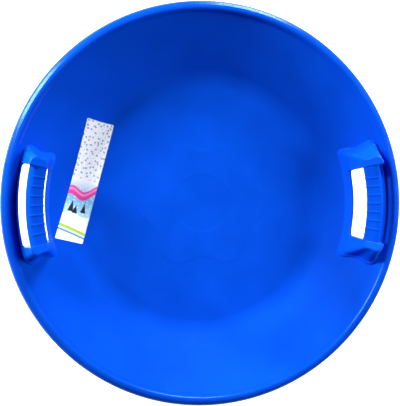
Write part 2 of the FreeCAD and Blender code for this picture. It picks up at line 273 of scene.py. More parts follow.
printedFilmLook = {
    "white": (0.95, 0.96, 0.96, 1.0),
    "paleGrey": (0.30, 0.34, 0.38, 1.0),
    "sky": (0.10, 0.42, 0.76, 1.0),
    "paleSky": (0.45, 0.74, 0.86, 1.0),
    "pink": (0.83, 0.07, 0.33, 1.0),
    "palePink": (0.90, 0.28, 0.55, 1.0),
    "lime": (0.36, 0.66, 0.04, 1.0),
    "blue": (0.05, 0.30, 0.66, 1.0),
    "pine": (0.015, 0.03, 0.05, 1.0),
    "aspect": 4.683,  # length over width
    "edge": 0.003,  # half width of the soft edge of a hill
    "fine": 0.002,  # and of the edges of a band and of a pine's foot
    # Lines across the film: height along it, tilt, swing, waves across it and start of the wave
    "hill": (0.205, 0.03, 0.022, 5.2, 0.4),
    "farHill": (0.275, -0.04, 0.026, 4.1, 2.2),
    "ribbon": (0.375, 0.05, 0.030, 6.0, 1.2),
    "limeStripe": (0.120, -0.05, 0.0, 1.0, 0.0),
    "blueStripe": (0.088, -0.05, 0.0, 1.0, 0.0),
    "ribbonHalf": 0.036,  # half widths of the bands on these lines
    "gleamHalf": 0.011,
    "gleamRise": 0.010,  # of the paler line in the ribbon
    "limeHalf": 0.011,
    "blueHalf": 0.007,
    # Scattered dots: scale, distances where a dot starts and ends its fade, and shift of the pattern
    "snow": (7.0, 0.13, 0.18, (0.0, 0.0, 0.0)),
    "specks": (5.5, 0.17, 0.22, (3.1, 2.17, 0.0)),
    "flecks": (9.0, 0.15, 0.20, (7.7, 5.39, 0.0)),
    "scatter": 0.9,
    # Places along the film between which a part of the pattern comes or goes
    "skyDeepens": (0.22, 0.42),
    "skyFades": (0.36, 0.50),
    "snowFades": (0.46, 0.48),
    "dotsAppear": (0.50, 0.53),
    "pines": [(0.24, 0.235, 0.340), (0.40, 0.225, 0.300), (0.70, 0.240, 0.325)],  # place across, foot and tip
    "pineHalf": 0.115,  # half width at the foot
    "pineEdge": 0.02,  # width of the soft edge of its sides
    "scuff": 60.0,  # scale of the scuffs
    "scuffSpan": (0.58, 0.80),  # span of their noise that greys the print, and how strongly
    "scuffShare": 0.12,
    "roughSpan": (0.3, 0.7),  # span that roughens the film, and the roughness at its ends
    "rough": (0.22, 0.38),
    "ripple": 28.0,  # scale of the film's slight waves
    "rippleStrength": 0.12,
    "rippleDepth": 0.0008,
    "gloss": 0.10,
}


# Glossy film printed with a plain winter pattern on its own UV map, across from 0 to 1 and along from 0 to 1:
# a pale sky between a snow hill and white, snow dots, dark pines, a wavy pink ribbon and two slanted stripes,
# with grey and pale dots on the white. Each edge is a ramp over the distance from a line, and the lines are
# sines of the place across.
def makePrintedFilm():
    look = printedFilmLook
    finish = Finish("printedFilm")
    place = finish.add("ShaderNodeUVMap", uv_map="filmPlace").outputs[0]
    parts = finish.add("ShaderNodeSeparateXYZ", {0: place}).outputs
    across, along = parts[0], parts[1]
    stretched = finish.math("MULTIPLY", along, look["aspect"])
    square = finish.add("ShaderNodeCombineXYZ", {0: across, 1: stretched}).outputs[0]

    # Height along the film of a line that waves across it
    def wavyLine(height, tilt, swing, waves, start):
        wave = finish.math("SINE", finish.math("ADD", finish.math("MULTIPLY", across, waves), start))
        line = finish.math("ADD", finish.math("MULTIPLY", wave, swing), finish.math("MULTIPLY", across, tilt))
        return finish.math("ADD", line, height)

    # One inside a band about a line and nothing outside it
    def band(line, half):
        apart = finish.math("ABSOLUTE", finish.math("SUBTRACT", along, line))
        return finish.mapped(apart, half - look["fine"], half + look["fine"], 1.0, 0.0)

    # One in round dots of a scattered pattern
    def dots(scale, low, high, shift):
        moved = finish.add("ShaderNodeVectorMath", {0: square, 1: shift}).outputs[0]
        values = {"Vector": moved, "Scale": scale, "Randomness": look["scatter"]}
        cells = finish.add("ShaderNodeTexVoronoi", values, voronoi_dimensions="2D")
        return finish.mapped(cells.outputs["Distance"], low, high, 1.0, 0.0)

    # One where a distance is past a soft edge
    def past(distance, soft):
        return finish.mapped(distance, -soft, soft, 0.0, 1.0)

    hill = finish.math("SUBTRACT", along, wavyLine(*look["hill"]))
    aboveHill = past(hill, look["edge"])
    fade = finish.mapped(along, *look["skyFades"], 1.0, 0.0)
    sky = finish.mix(finish.mapped(along, *look["skyDeepens"], 0.0, 1.0), look["paleSky"], look["sky"])
    colour = finish.mix(finish.math("MULTIPLY", aboveHill, fade), look["white"], sky)
    farHill = finish.math("SUBTRACT", wavyLine(*look["farHill"]), along)
    onFarHill = finish.math("MULTIPLY", past(farHill, look["edge"]), aboveHill)
    colour = finish.mix(onFarHill, colour, look["paleSky"])
    snow = finish.math("MULTIPLY", dots(*look["snow"]), aboveHill)
    snow = finish.math("MULTIPLY", snow, finish.mapped(along, *look["snowFades"], 1.0, 0.0))
    colour = finish.mix(snow, colour, look["white"])
    upper = finish.mapped(along, *look["dotsAppear"], 0.0, 1.0)
    specks = finish.math("MULTIPLY", dots(*look["specks"]), upper)
    colour = finish.mix(specks, colour, look["paleGrey"])
    flecks = finish.math("MULTIPLY", dots(*look["flecks"]), upper)
    colour = finish.mix(flecks, colour, look["paleSky"])
    for middle, foot, tip in look["pines"]:
        sideways = finish.math("ABSOLUTE", finish.math("SUBTRACT", across, middle))
        reach = finish.mapped(along, foot, tip, look["pineHalf"], 0.0)
        inside = finish.mapped(finish.math("SUBTRACT", reach, sideways), 0.0, look["pineEdge"], 0.0, 1.0)
        above = finish.mapped(along, foot - look["fine"], foot + look["fine"], 0.0, 1.0)
        colour = finish.mix(finish.math("MULTIPLY", inside, above), colour, look["pine"])
    ribbon = wavyLine(*look["ribbon"])
    gleam = finish.math("ADD", ribbon, look["gleamRise"])
    colour = finish.mix(band(ribbon, look["ribbonHalf"]), colour, look["pink"])
    colour = finish.mix(band(gleam, look["gleamHalf"]), colour, look["palePink"])
    colour = finish.mix(band(wavyLine(*look["limeStripe"]), look["limeHalf"]), colour, look["lime"])
    colour = finish.mix(band(wavyLine(*look["blueStripe"]), look["blueHalf"]), colour, look["blue"])
    onSled = finish.add("ShaderNodeTexCoord").outputs["Object"]
    scuff = finish.noise(onSled, look["scuff"], detail=6.0)
    scuffed = finish.mapped(scuff, *look["scuffSpan"], 0.0, look["scuffShare"])
    finish.link(finish.mix(scuffed, colour, look["paleGrey"]), "Base Color")
    finish.link(finish.mapped(scuff, *look["roughSpan"], *look["rough"]), "Roughness")
    finish.shader.inputs["Specular IOR Level"].default_value = look["gloss"]
    ripple = finish.noise(onSled, look["ripple"], detail=1.0)
    values = {"Strength": look["rippleStrength"], "Distance": look["rippleDepth"], "Height": ripple}
    finish.link(finish.add("ShaderNodeBump", values).outputs[0], "Normal")
    return finish.material


dishPlastic = makeBluePlastic("dishPlastic", "dish")
trimPlastic = makeBluePlastic("trimPlastic", "trim")
# Paler copy of the blue for the posts and inner rails, painted light
paintedLightPlastic = makeBluePlastic("paintedLightPlastic", "paintedLight")
# Darker matt copy of the blue for the bars and outer rails, painted shade
gripPlastic = makeBluePlastic("gripPlastic", "grip")
printedFilm = makePrintedFilm()
print("materials made")


dish = {
    "slotCorner": 0.0045,  # rounding of the slot's corners
    "openLow": 0.057,  # openings below the hollow posts, up the slope
    "openHigh": 0.101,
    "openStart": 0.0050,  # and round the dish, from the slot's end
    "openEnd": {"right": 0.0250, "left": 0.0165},
    "openCorner": 0.004,
    "wallStart": 0.004,  # first row of points on the wall, up the slope from the bend
    "slotMargin": 0.012,  # closer rows start this far below a slot
    "rosetteRise": 0.00034,  # faint raised figure on the floor
    "rosetteRadius": 0.098,
    "rosetteLobes": 6,
    "rosetteSwing": 0.11,  # of the lobes, as a share of the radius
    "rosetteRing": 0.046,  # radius of the field in its middle
    "rosetteSlope": 0.005,  # width of its soft edges
}
openMiddle = cornerRadius + 0.5 * (dish["openLow"] + dish["openHigh"]) * slopeCos
openFirst = slotHalf + dish["openStart"] / openMiddle
openLast = {side: slotHalf + reach / openMiddle for side, reach in dish["openEnd"].items()}


# Moves the points on both edges of a square hole's corner onto a quarter circle. A point at a share of the
# radius from the corner goes to the same share of the eighth turn that starts where the edge meets the arc.
def roundHoleCorner(along, turn, corner, into, radius):
    cornerAlong, cornerTurn = corner
    intoAlong, intoTurn = into
    reach = cornerRadius + cornerAlong * slopeCos
    stepAlong = (along - cornerAlong) * intoAlong
    stepTurn = (turn - cornerTurn) * intoTurn * reach
    tiny = 1e-7
    for first, second, isAlong in ((stepAlong, stepTurn, True), (stepTurn, stepAlong, False)):
        onEdge = (np.abs(second) < tiny) & (first > -tiny) & (first < radius)
        angle = -0.5 * np.pi - 0.25 * np.pi * (1.0 - first / radius)
        near = radius * (1.0 + np.cos(angle))
        far = radius * (1.0 + np.sin(angle))
        newAlong, newTurn = (near, far) if isAlong else (far, near)
        along = np.where(onEdge, cornerAlong + intoAlong * newAlong, along)
        turn = np.where(onEdge, cornerTurn + intoTurn * newTurn / reach, turn)
    return along, turn


# Height of the faint figure on the floor: a plateau that ends in a lobed outline, with a round field in its
# middle, both with edges that follow half a wave of a cosine
def floorRelief(radius, turn):
    outline = dish["rosetteRadius"] * (1.0 + dish["rosetteSwing"] * np.cos(dish["rosetteLobes"] * turn))
    inside = np.clip((outline - radius) / dish["rosetteSlope"] + 0.5, 0.0, 1.0)
    beyond = np.clip((radius - dish["rosetteRing"]) / dish["rosetteSlope"] + 0.5, 0.0, 1.0)
    return dish["rosetteRise"] * 0.25 * (1.0 - np.cos(np.pi * inside)) * (1.0 - np.cos(np.pi * beyond))


# Floor, bend and wall as an inner and an outer face of revolution on one grid of radius and turn. The cells
# of the slots and of the openings below the posts are left out, and strips join the two faces round them.
def makeDish():
    slotTurn = dish["slotCorner"] / slotOuter
    openTurn = dish["openCorner"] / openMiddle
    quarters = {
        side: stepsThrough(
            0.0,
            (slotHalf - slotTurn, 12),
            (slotHalf, 5),
            (openFirst, 1),
            (openFirst + openTurn, 5),
            (last - openTurn, 4),
            (last, 5),
            (0.5 * np.pi, 52),
        )
        for side, last in openLast.items()
    }
    right, left = quarters["right"], quarters["left"]
    turns = np.concatenate([right, np.pi - left[-2::-1], np.pi + left[1:], 2 * np.pi - right[-2:0:-1]])
    alongs = stepsThrough(
        (bendEnd - cornerRadius) / slopeCos + dish["wallStart"],
        (slotLow - dish["slotMargin"], 10),
        (slotLow, 6),
        (dish["openLow"], 1),
        (slotLow + dish["slotCorner"], 3),
        (dish["openLow"] + dish["openCorner"], 2),
        (dish["openHigh"] - dish["openCorner"], 20),
        (slotHigh - dish["slotCorner"], 2),
        (dish["openHigh"], 3),
        (slotHigh, 3),
        (wallLength, 8),
    )
    columns = len(turns)
    ring, reach, soft = dish["rosetteRing"], dish["rosetteRadius"], dish["rosetteSlope"]
    swing = reach * dish["rosetteSwing"]
    radii = stepsThrough(
        0.0,
        (ring - soft, 8),
        (ring + soft, 8),
        (reach - swing - soft, 6),
        (reach + swing + soft, 20),
        (floorEdge, 10),
    )[1:]
    bends = np.linspace(0.0, bowl["slope"], 17)[1:]

    # Inner face, and the outer face straight below it along the wall, squared off at the top
    along, turn = np.meshgrid(alongs, turns, indexing="ij")
    fold = np.arcsin(np.abs(np.sin(turn)))
    onRight = np.cos(turns) > 0
    for columnsHere, last in ((onRight, openLast["right"]), (~onRight, openLast["left"])):
        alongHere, foldHere = along[:, columnsHere], fold[:, columnsHere]
        holeCorners = [
            (slotLow, slotHigh, slotHalf, -1.0, dish["slotCorner"]),
            (dish["openLow"], dish["openHigh"], openFirst, 1.0, dish["openCorner"]),
            (dish["openLow"], dish["openHigh"], last, -1.0, dish["openCorner"]),
        ]
        for low, high, cornerTurn, intoTurn, radius in holeCorners:
            for corner, intoAlong in ((low, 1.0), (high, -1.0)):
                into = (intoAlong, intoTurn)
                alongHere, foldHere = roundHoleCorner(alongHere, foldHere, (corner, cornerTurn), into, radius)
        along[:, columnsHere], fold[:, columnsHere] = alongHere, foldHere
    wallTurn = np.where(onRight, fold, np.pi - fold) * np.where(np.sin(turn) < 0, -1.0, 1.0)
    wallRadius, wallHeight = onSlope(along, 0.0)
    drop = bowl["wall"] / slopeCos
    outerBend = bowl["bend"] + bowl["wall"]
    flat = turned(radii[:, None], turns[None, :], bowl["wall"] + floorRelief(radii[:, None], turns[None, :]))
    under = turned(radii[:, None], turns[None, :], 0.0)
    bendHeight = bowl["wall"] + bowl["bend"]
    inBend = turned(
        floorEdge + bowl["bend"] * np.sin(bends)[:, None],
        turns[None, :],
        bendHeight - bowl["bend"] * np.cos(bends)[:, None],
    )
    outBend = turned(
        floorEdge + outerBend * np.sin(bends)[:, None],
        turns[None, :],
        bendHeight - outerBend * np.cos(bends)[:, None],
    )
    inWall = turned(wallRadius, wallTurn, wallHeight)
    outWall = turned(wallRadius, wallTurn, wallHeight - drop)
    topRadius, topHeight = onSlope(wallLength, -bowl["wall"])
    outWall[-1] = turned(topRadius, turns, topHeight)
    inner = np.concatenate([flat, inBend, inWall])
    outer = np.concatenate([under, outBend, outWall])
    rows = len(inner)
    count = rows * columns
    points = np.concatenate([inner.reshape(-1, 3), outer.reshape(-1, 3), [[0, 0, bowl["wall"]], [0, 0, 0]]])

    # Cells that stay: those whose middle is in no hole
    startRow = len(flat) + len(inBend)
    midAlong = 0.5 * (alongs[1:] + alongs[:-1])[:, None]
    midTurn = turns + 0.5 * (np.append(turns[1:], 2 * np.pi) - turns)
    midFold = np.arcsin(np.abs(np.sin(midTurn)))[None, :]
    inSlot = (midAlong > slotLow) & (midAlong < slotHigh) & (midFold < slotHalf)
    inOpening = (midAlong > dish["openLow"]) & (midAlong < dish["openHigh"])
    lastTurn = np.where(np.cos(midTurn) > 0, openLast["right"], openLast["left"])
    inOpening = inOpening & (midFold > openFirst) & (midFold < lastTurn)
    kept = np.ones((rows - 1, columns), bool)
    kept[startRow:] = ~(inSlot | inOpening)
    quads = gridQuads(rows, columns, closedColumns=True)
    faces = quads[kept.reshape(-1)]

    # Strips between the two faces round the holes and along the top, wound to match the inner face
    index = np.arange(count).reshape(rows, columns)
    following = np.roll(index, -1, axis=1)
    edges = []
    before = np.roll(kept, 1, axis=1)
    for edgeMask, flipped in ((before & ~kept, False), (~before & kept, True)):
        a, b = index[:-1][edgeMask], index[1:][edgeMask]
        edges.append(np.stack([b, a] if flipped else [a, b], axis=-1))
    for edgeMask, flipped in ((kept[:-1] & ~kept[1:], True), (~kept[:-1] & kept[1:], False)):
        a, b = index[1:-1][edgeMask], following[1:-1][edgeMask]
        edges.append(np.stack([b, a] if flipped else [a, b], axis=-1))
    edges.append(np.stack([following[-1], index[-1]], axis=-1))
    edges = np.concatenate(edges)
    strips = np.concatenate([edges, edges[:, ::-1] + count], axis=1)
    fans = [fanTriangles(2 * count, 0, columns), fanTriangles(2 * count + 1, count, columns)[:, ::-1]]
    groups = [faces, faces[:, ::-1] + count, strips] + fans
    makePiece("dishShell", points, groups, dishPlastic, ["dish"])


makeDish()


rim = {
    "footDrop": 0.0056,  # from the wall's top down the slope to the collar's foot
    "collarRise": 0.0061,  # of the crest above the wall's top
    "collarStep": -0.0012,  # and out from it, or in where negative
    "bandFall": 0.0025,  # of the band on its way out to the shoulder
    "bandCrown": 0.0003,  # how far the band bulges
    "skirtDrop": 0.012,  # from the shoulder to the skirt's end
    "collarRound": 0.0044,  # roundings of the crest, the shoulder and the small edges
    "shoulderRound": 0.0082,
    "edgeRound": 0.0009,
    "underCollar": 1.3,  # thickness below the collar and below the shoulder, in walls
    "underShoulder": 0.8,
    "inside": 0.00006,  # keeps the outline within the solid's own box
    "steps": 320,  # round the axis
}


# A collar, a crowned band and a turned-down skirt: one closed profile carried round the upright axis
def makeRim():
    wall = bowl["wall"]
    rimRadius = rimHigh.x - rim["inside"]
    collar = wallTopRadius + rim["collarStep"]
    collarHeight = wallTopHeight + rim["collarRise"]
    shoulder = collarHeight - rim["bandFall"]
    skirtEnd = shoulder - rim["skirtDrop"]
    corners = [
        onSlope(wallLength - rim["footDrop"], 0.0),
        onSlope(wallLength, -wall),
        (collar + wall, collarHeight - wall * rim["underCollar"]),
        (rimRadius - wall, shoulder - wall * rim["underShoulder"]),
        (rimRadius - wall, skirtEnd),
        (rimRadius, skirtEnd),
        (rimRadius, shoulder),
        (collar, collarHeight),
    ]
    small = rim["edgeRound"]
    radii = [sharpCorner] * 2 + [small] * 4 + [rim["shoulderRound"], rim["collarRound"]]
    bows = [0.0] * 6 + [-rim["bandCrown"], 0.0]
    profile = roundedLoop(corners, radii, bows, arcSteps=7, sideSteps=5)
    turns = np.linspace(0.0, 2 * np.pi, rim["steps"], endpoint=False)
    points = turned(profile[:, None, 0], turns[None, :], profile[:, None, 1]).reshape(-1, 3)
    quads = gridQuads(len(profile), len(turns), closedRows=True, closedColumns=True)
    makePiece("rolledRim", points, [quads], trimPlastic, ["rim"])


makeRim()


# The four posts: name of the side, name of the end, and the signs of x and y
postPlaces = [
    ("right", "rear", 1.0, 1.0),
    ("right", "front", 1.0, -1.0),
    ("left", "rear", -1.0, 1.0),
    ("left", "front", -1.0, -1.0),
]
post = {
    "height": 0.0487,
    "lowFoot": {"right": 0.0450, "left": 0.0520},  # inner side, up the slope, at the wall and at the top
    "lowTop": 0.0982,
    "highFoot": 0.1055,  # side towards the rim
    "highTop": 0.1262,
    "endFoot": {"right": 0.0335, "left": 0.0205},  # far end, away from the slot
    "endTop": {"right": 0.0150, "left": 0.0108},
    "lean": {"right": 0.0040, "left": -0.0004},  # how far the slot's side leans back at the top
    "splay": math.radians(4.5),  # of the far end, deeper towards the rim
    "dipFoot": 0.0040,  # hollow of the far end between its two corners
    "dipTop": 0.0004,
    "roundLowFoot": 0.0085,  # corners of the far end
    "roundLowTop": 0.0036,
    "roundHighFoot": 0.0110,
    "roundHighTop": 0.0095,
    "slotEdge": 0.0010,  # corners at the slot
    "plinth": 0.0028,  # how far the foot stands out, and between which heights it steps back
    "plinthLow": 0.0022,
    "plinthHigh": 0.0070,
    "rimSpread": 0.5,  # share of the foot's spread on the side towards the rim
    "flare": 0.0014,  # small blend into the wall
    "edgeRound": 0.0018,  # edge of the top face
    "slotInset": 0.35,  # share of the top edge's inset on the slot's side, and that the roundings lose
    "roundInset": 0.5,
    "topRings": (0.7, 0.35),  # rings on the top face, as shares of the way from its middle
    "hollowTop": 0.0450,
    "hollowWall": 0.0030,
    "hollowLow": 1.3,  # how far the ceiling ends inside the top face, below and above, in hollowWalls
    "hollowHigh": 1.8,
    "hollowSharpens": 0.6,  # share of the corner's rounding that is lost up to the ceiling
}


# Section of the post at a distance out from the wall: four sides with rounded corners, each side running
# evenly from foot to top, moved out by the spread of the foot and in by the inset of the top's edge
def postSection(side, out, spread, inset):
    share = out / post["height"]

    def between(foot, top):
        return foot + (top - foot) * share

    low = between(post["lowFoot"][side], post["lowTop"]) - spread + inset
    high = between(post["highFoot"], post["highTop"]) + post["rimSpread"] * spread - inset
    depth = between(post["endFoot"][side], post["endTop"][side]) + spread - inset
    splayed = depth + (high - low) * math.tan(post["splay"])
    slotSide = between(0.0, post["lean"][side]) + inset * post["slotInset"]
    roundLow = between(post["roundLowFoot"], post["roundLowTop"]) - post["roundInset"] * inset
    roundHigh = between(post["roundHighFoot"], post["roundHighTop"]) - post["roundInset"] * inset
    outline = [(low, slotSide), (high, slotSide), (high, splayed), (low, depth)]
    radii = [post["slotEdge"], post["slotEdge"], roundHigh, roundLow]
    bows = [0.0, 0.0, between(post["dipFoot"], post["dipTop"]), 0.0]
    return roundedLoop(outline, radii, bows, arcSteps=10, sideSteps=12)


# Section of the hollow at a distance out from the wall: four corners that run evenly from the opening in the
# wall to the ceiling
def hollowSection(side, out):
    share = out / post["hollowTop"]
    wall = post["hollowWall"]
    low = dish["openLow"] + (post["lowTop"] + wall * post["hollowLow"] - dish["openLow"]) * share
    high = dish["openHigh"] + (post["highTop"] - wall * post["hollowHigh"] - dish["openHigh"]) * share
    outline = []
    for along, far in ((low, 0), (high, 0), (high, 1), (low, 1)):
        reach = (cornerRadius + along * slopeCos) / openMiddle
        foot = (dish["openEnd"][side] if far else dish["openStart"]) * reach
        top = post["endTop"][side] - wall if far else post["lean"][side] + wall
        outline.append((along, foot + (top - foot) * share))
    radius = dish["openCorner"] * (1.0 - post["hollowSharpens"] * share)
    return roundedLoop(outline, [radius] * 4, [0.0] * 4, arcSteps=10, sideSteps=12)


# A drafted tower: sections stacked from the hollow's ceiling down to the wall, out to the foot, up past a low
# plinth that steps back in a raised cosine, on to the rounded edge of the top face, and in to its middle.
# Along the slope, away from the slot and out from the wall are laid on the cone, with the distance from the
# slot as an arc of its circle.
def makePost(side, end, signX, signY):
    stack = [(out, hollowSection(side, out)) for out in np.linspace(post["hollowTop"], 0.0, 8)]
    plinth, flare, edge = post["plinth"], post["flare"], post["edgeRound"]
    for angle in np.linspace(0.0, 0.5 * np.pi, 5):
        out = flare * (1.0 - math.cos(angle))
        stack.append((out, postSection(side, out, plinth + flare * (1.0 - math.sin(angle)), 0.0)))
    for share in np.linspace(0.0, 1.0, 9):
        out = post["plinthLow"] + (post["plinthHigh"] - post["plinthLow"]) * share
        stack.append((out, postSection(side, out, plinth * 0.5 * (1.0 + math.cos(math.pi * share)), 0.0)))
    for out in np.linspace(post["plinthHigh"], post["height"] - edge, 9)[1:-1]:
        stack.append((out, postSection(side, out, 0.0, 0.0)))
    for angle in np.linspace(0.0, 0.5 * np.pi, 8):
        out = post["height"] - edge * (1.0 - math.sin(angle))
        stack.append((out, postSection(side, out, 0.0, edge * (1.0 - math.cos(angle)))))
    top = stack[-1][1]
    middle = top.mean(axis=0)
    for share in post["topRings"]:
        stack.append((post["height"], middle + (top - middle) * share))
    ceiling = stack[0][1].mean(axis=0)
    sections = np.array([section for _, section in stack])
    outs = np.array([out for out, _ in stack])[:, None]
    rows, columns = sections.shape[:2]
    along = np.concatenate([sections[:, :, 0].reshape(-1), [ceiling[0], middle[0]]])
    away = np.concatenate([sections[:, :, 1].reshape(-1), [ceiling[1], middle[1]]])
    out = np.concatenate([np.repeat(outs, columns, axis=1).reshape(-1), [post["hollowTop"], post["height"]]])
    radius, height = onSlope(along, out)
    points = turned(radius, slotHalf + away / radius, height) * np.array([signX, signY, 1.0])
    groups = closedFaces(rows, columns)
    makePiece(f"{side}_{end}_post_shell", points, groups, paintedLightPlastic, [f"{side}_{end}_post"])


for place in postPlaces:
    makePost(*place)


# Profiles of radius and height carried along the slot from post to post, one for each turn, with flat ends
def makeSwept(name, profiles, turns, sign, material, replaced):
    grid = turned(profiles[..., 0], turns[:, None], profiles[..., 1]) * np.array([sign, 1.0, 1.0])
    points = np.concatenate([grid.reshape(-1, 3), grid[[0, -1]].mean(axis=1)])
    makePiece(name, points, closedFaces(*grid.shape[:2]), material, replaced)


sides = (("right", 1.0), ("left", -1.0))
rail = {
    "rise": {"right": 0.0105, "left": 0.0034},  # of the crest above the wall
    "riseEnd": {"right": 0.0200, "left": 0.0080},  # and where it meets a post
    "lean": {"right": 0.0020, "left": -0.0012},  # how far the crest stands back from the slot, or over it
    "land": {"right": 0.0, "left": 0.0020},  # flat along the crest
    "foot": {"right": 0.0408, "left": 0.0495},  # up the slope
    "footRun": 0.006,  # how far the underside goes on below the foot, and how deep it lies there
    "footSink": 0.0003,
    "swellLength": 0.015,  # how far from each post it starts to swell
    "footRound": 0.0025,
    "crest": {"right": 0.0028, "left": 0.0010},  # its rounding
    "sunk": 0.0006,  # how far the underside lies in the wall
    "outerRise": 0.0065,
    "outerWidth": 0.0027,
    "outerFlat": 0.6,  # share of the width that the top keeps
    "outerCrest": 0.0009,  # rounding of the top on the slot's side, and its share on the far side
    "outerBack": 0.7,
    "overlap": 0.0045,  # how far each end runs into its post
    "steps": 81,  # along the slot
}


# Low raised edges of the slot: the inner one rises from the wall in a straight flank to a rounded crest, with
# a narrow flat where the side has a land, and falls to the slot. It swells towards the posts as the square of
# the way into its last stretch. The outer one is a small lip.
def makeRails(side, sign):
    overlap = rail["overlap"] / slotInner
    turns = np.linspace(-slotHalf - overlap, slotHalf + overlap, rail["steps"])
    sunk = rail["sunk"]
    base = innerHeight(np.array(slotInner)).item()
    swell = np.clip(1.0 - (slotHalf - np.abs(turns)) * slotInner / rail["swellLength"], 0.0, 1.0) ** 2
    rise, riseEnd = rail["rise"][side], rail["riseEnd"][side]
    foot, land = rail["foot"][side], rail["land"][side]
    tail = foot - rail["footRun"]
    below = [onSlope(foot, 0.0), onSlope(tail, -rail["footSink"]), onSlope(tail, -sunk)]
    crestRadius = slotInner - rail["lean"][side]
    profiles = []
    for share in swell:
        top = base + rise + (riseEnd - rise) * share
        crest = [(crestRadius, top), (crestRadius - land, top)] if land else [(crestRadius, top)]
        outline = [(slotInner, base - sunk)] + crest + below
        crestRounds = [rail["crest"][side]] * len(crest)
        radii = [sharpCorner] + crestRounds + [rail["footRound"], sharpCorner, sharpCorner]
        profiles.append(roundedLoop(outline, radii, [0.0] * len(outline), arcSteps=10, sideSteps=3))
    makeSwept(f"{side}_inner_rail_edge", np.array(profiles), turns, sign, paintedLightPlastic, [f"{side}_inner_rail"])

    base = innerHeight(np.array(slotOuter)).item()
    far = slotOuter + rail["outerWidth"]
    outline = [
        (slotOuter, base - sunk),
        (far, innerHeight(np.array(far)).item() - sunk),
        (slotOuter + rail["outerWidth"] * rail["outerFlat"], base + rail["outerRise"]),
        (slotOuter, base + rail["outerRise"]),
    ]
    radii = [sharpCorner, sharpCorner, rail["outerCrest"] * rail["outerBack"], rail["outerCrest"]]
    profile = roundedLoop(outline, radii, [0.0] * 4, arcSteps=8, sideSteps=3)
    profiles = np.repeat(profile[None], len(turns), axis=0)
    makeSwept(f"{side}_outer_rail_edge", profiles, turns, sign, gripPlastic, [f"{side}_outer_rail"])


for side, sign in sides:
    makeRails(side, sign)


grip = {
    "along": {"right": 0.1027, "left": 0.1041},  # middle of the bar, up the slope
    "out": 0.0474,  # crown of the bar, out from the wall
    "width": {"right": 0.0224, "left": 0.0231},
    "depth": 0.0140,  # of the channel from its crown
    "wall": 0.0030,
    "round": 0.0070,  # of the back's edges
    "lipRound": 0.0012,
    "ribRise": 0.0009,
    "ribWidth": 0.0024,  # from its crest to where it ends
    "ribPitch": 0.0128,
    "ribCount": 7,
    "ribFade": 0.9,  # share of its rise that is lost where the back's rounding ends
    "overlap": 0.0050,  # how far each end runs into its post
    "steps": 361,  # along the slot
}


# A channel with a round back carried along the slot. Ribs stand on its back: each is a raised cosine along
# the bar, and its height falls off evenly towards the sides of the bar as the point drops below the crown.
def makeGrip(side, sign):
    half = grip["width"][side] / 2
    foot = grip["out"] - grip["depth"]
    inside = half - grip["wall"]
    ceiling = grip["out"] - grip["wall"]
    corners = [
        (-half, foot),
        (-inside, foot),
        (-inside, ceiling),
        (inside, ceiling),
        (inside, foot),
        (half, foot),
        (half, grip["out"]),
        (-half, grip["out"]),
    ]
    lip = [grip["lipRound"]] * 2
    inner = [grip["round"] - grip["wall"]] * 2
    radii = lip + inner + lip + [grip["round"]] * 2
    section = roundedLoop(corners, radii, [0.0] * 8, arcSteps=9, sideSteps=4)
    crownRadius = onSlope(grip["along"][side], grip["out"])[0]
    reach = slotHalf + grip["overlap"] / crownRadius
    turns = np.linspace(-reach, reach, grip["steps"])
    apart = turns * crownRadius / grip["ribPitch"]
    number = np.clip(np.round(apart), -(grip["ribCount"] // 2), grip["ribCount"] // 2)
    offset = np.clip(np.abs(apart - number) * grip["ribPitch"] / grip["ribWidth"], 0.0, 1.0)
    ridge = 0.5 * (1.0 + np.cos(np.pi * offset))
    drop = (grip["out"] - section[:, 1]) / grip["round"]
    tiny = 1e-6
    outside = (np.abs(section[:, 0]) > inside - tiny) | (section[:, 1] > ceiling + tiny)
    window = np.where(outside, np.clip(1.0 - grip["ribFade"] * drop, 0.0, 1.0), 0.0)
    towards = section - np.array([0.0, grip["out"] - grip["round"]])
    towards[:, 0] = np.sign(section[:, 0]) * np.maximum(np.abs(section[:, 0]) - (half - grip["round"]), 0.0)
    towards[:, 1] = np.maximum(towards[:, 1], tiny)
    towards /= np.linalg.norm(towards, axis=1, keepdims=True)
    rise = grip["ribRise"] * ridge[:, None] * window[None, :]
    along = grip["along"][side] + section[None, :, 0] + rise * towards[None, :, 0]
    out = section[None, :, 1] + rise * towards[None, :, 1]
    profiles = np.stack(onSlope(along, out), axis=-1)
    makeSwept(f"{side}_grip_bar", profiles, turns, sign, gripPlastic, [f"{side}_grip"])


for side, sign in sides:
    makeGrip(side, sign)


film = {
    "width": 0.041,
    "length": 0.192,
    "round": 0.002,
    "gap": 0.00005,  # of the glue
    "thickness": 0.0002,
    "inset": 0.0139,  # from the unbent corner of the dish to the middle of the film
    "bearing": math.radians(10.9),  # of its middle, behind -X
    "turn": math.radians(15.0),  # of its length, from the rear towards +X
    "taper": 0.012,  # longer on the floor's side, shorter up the wall
    "stepsAlong": 150,  # points from one rounded end to the other, and across
    "stepsAcross": 33,
}


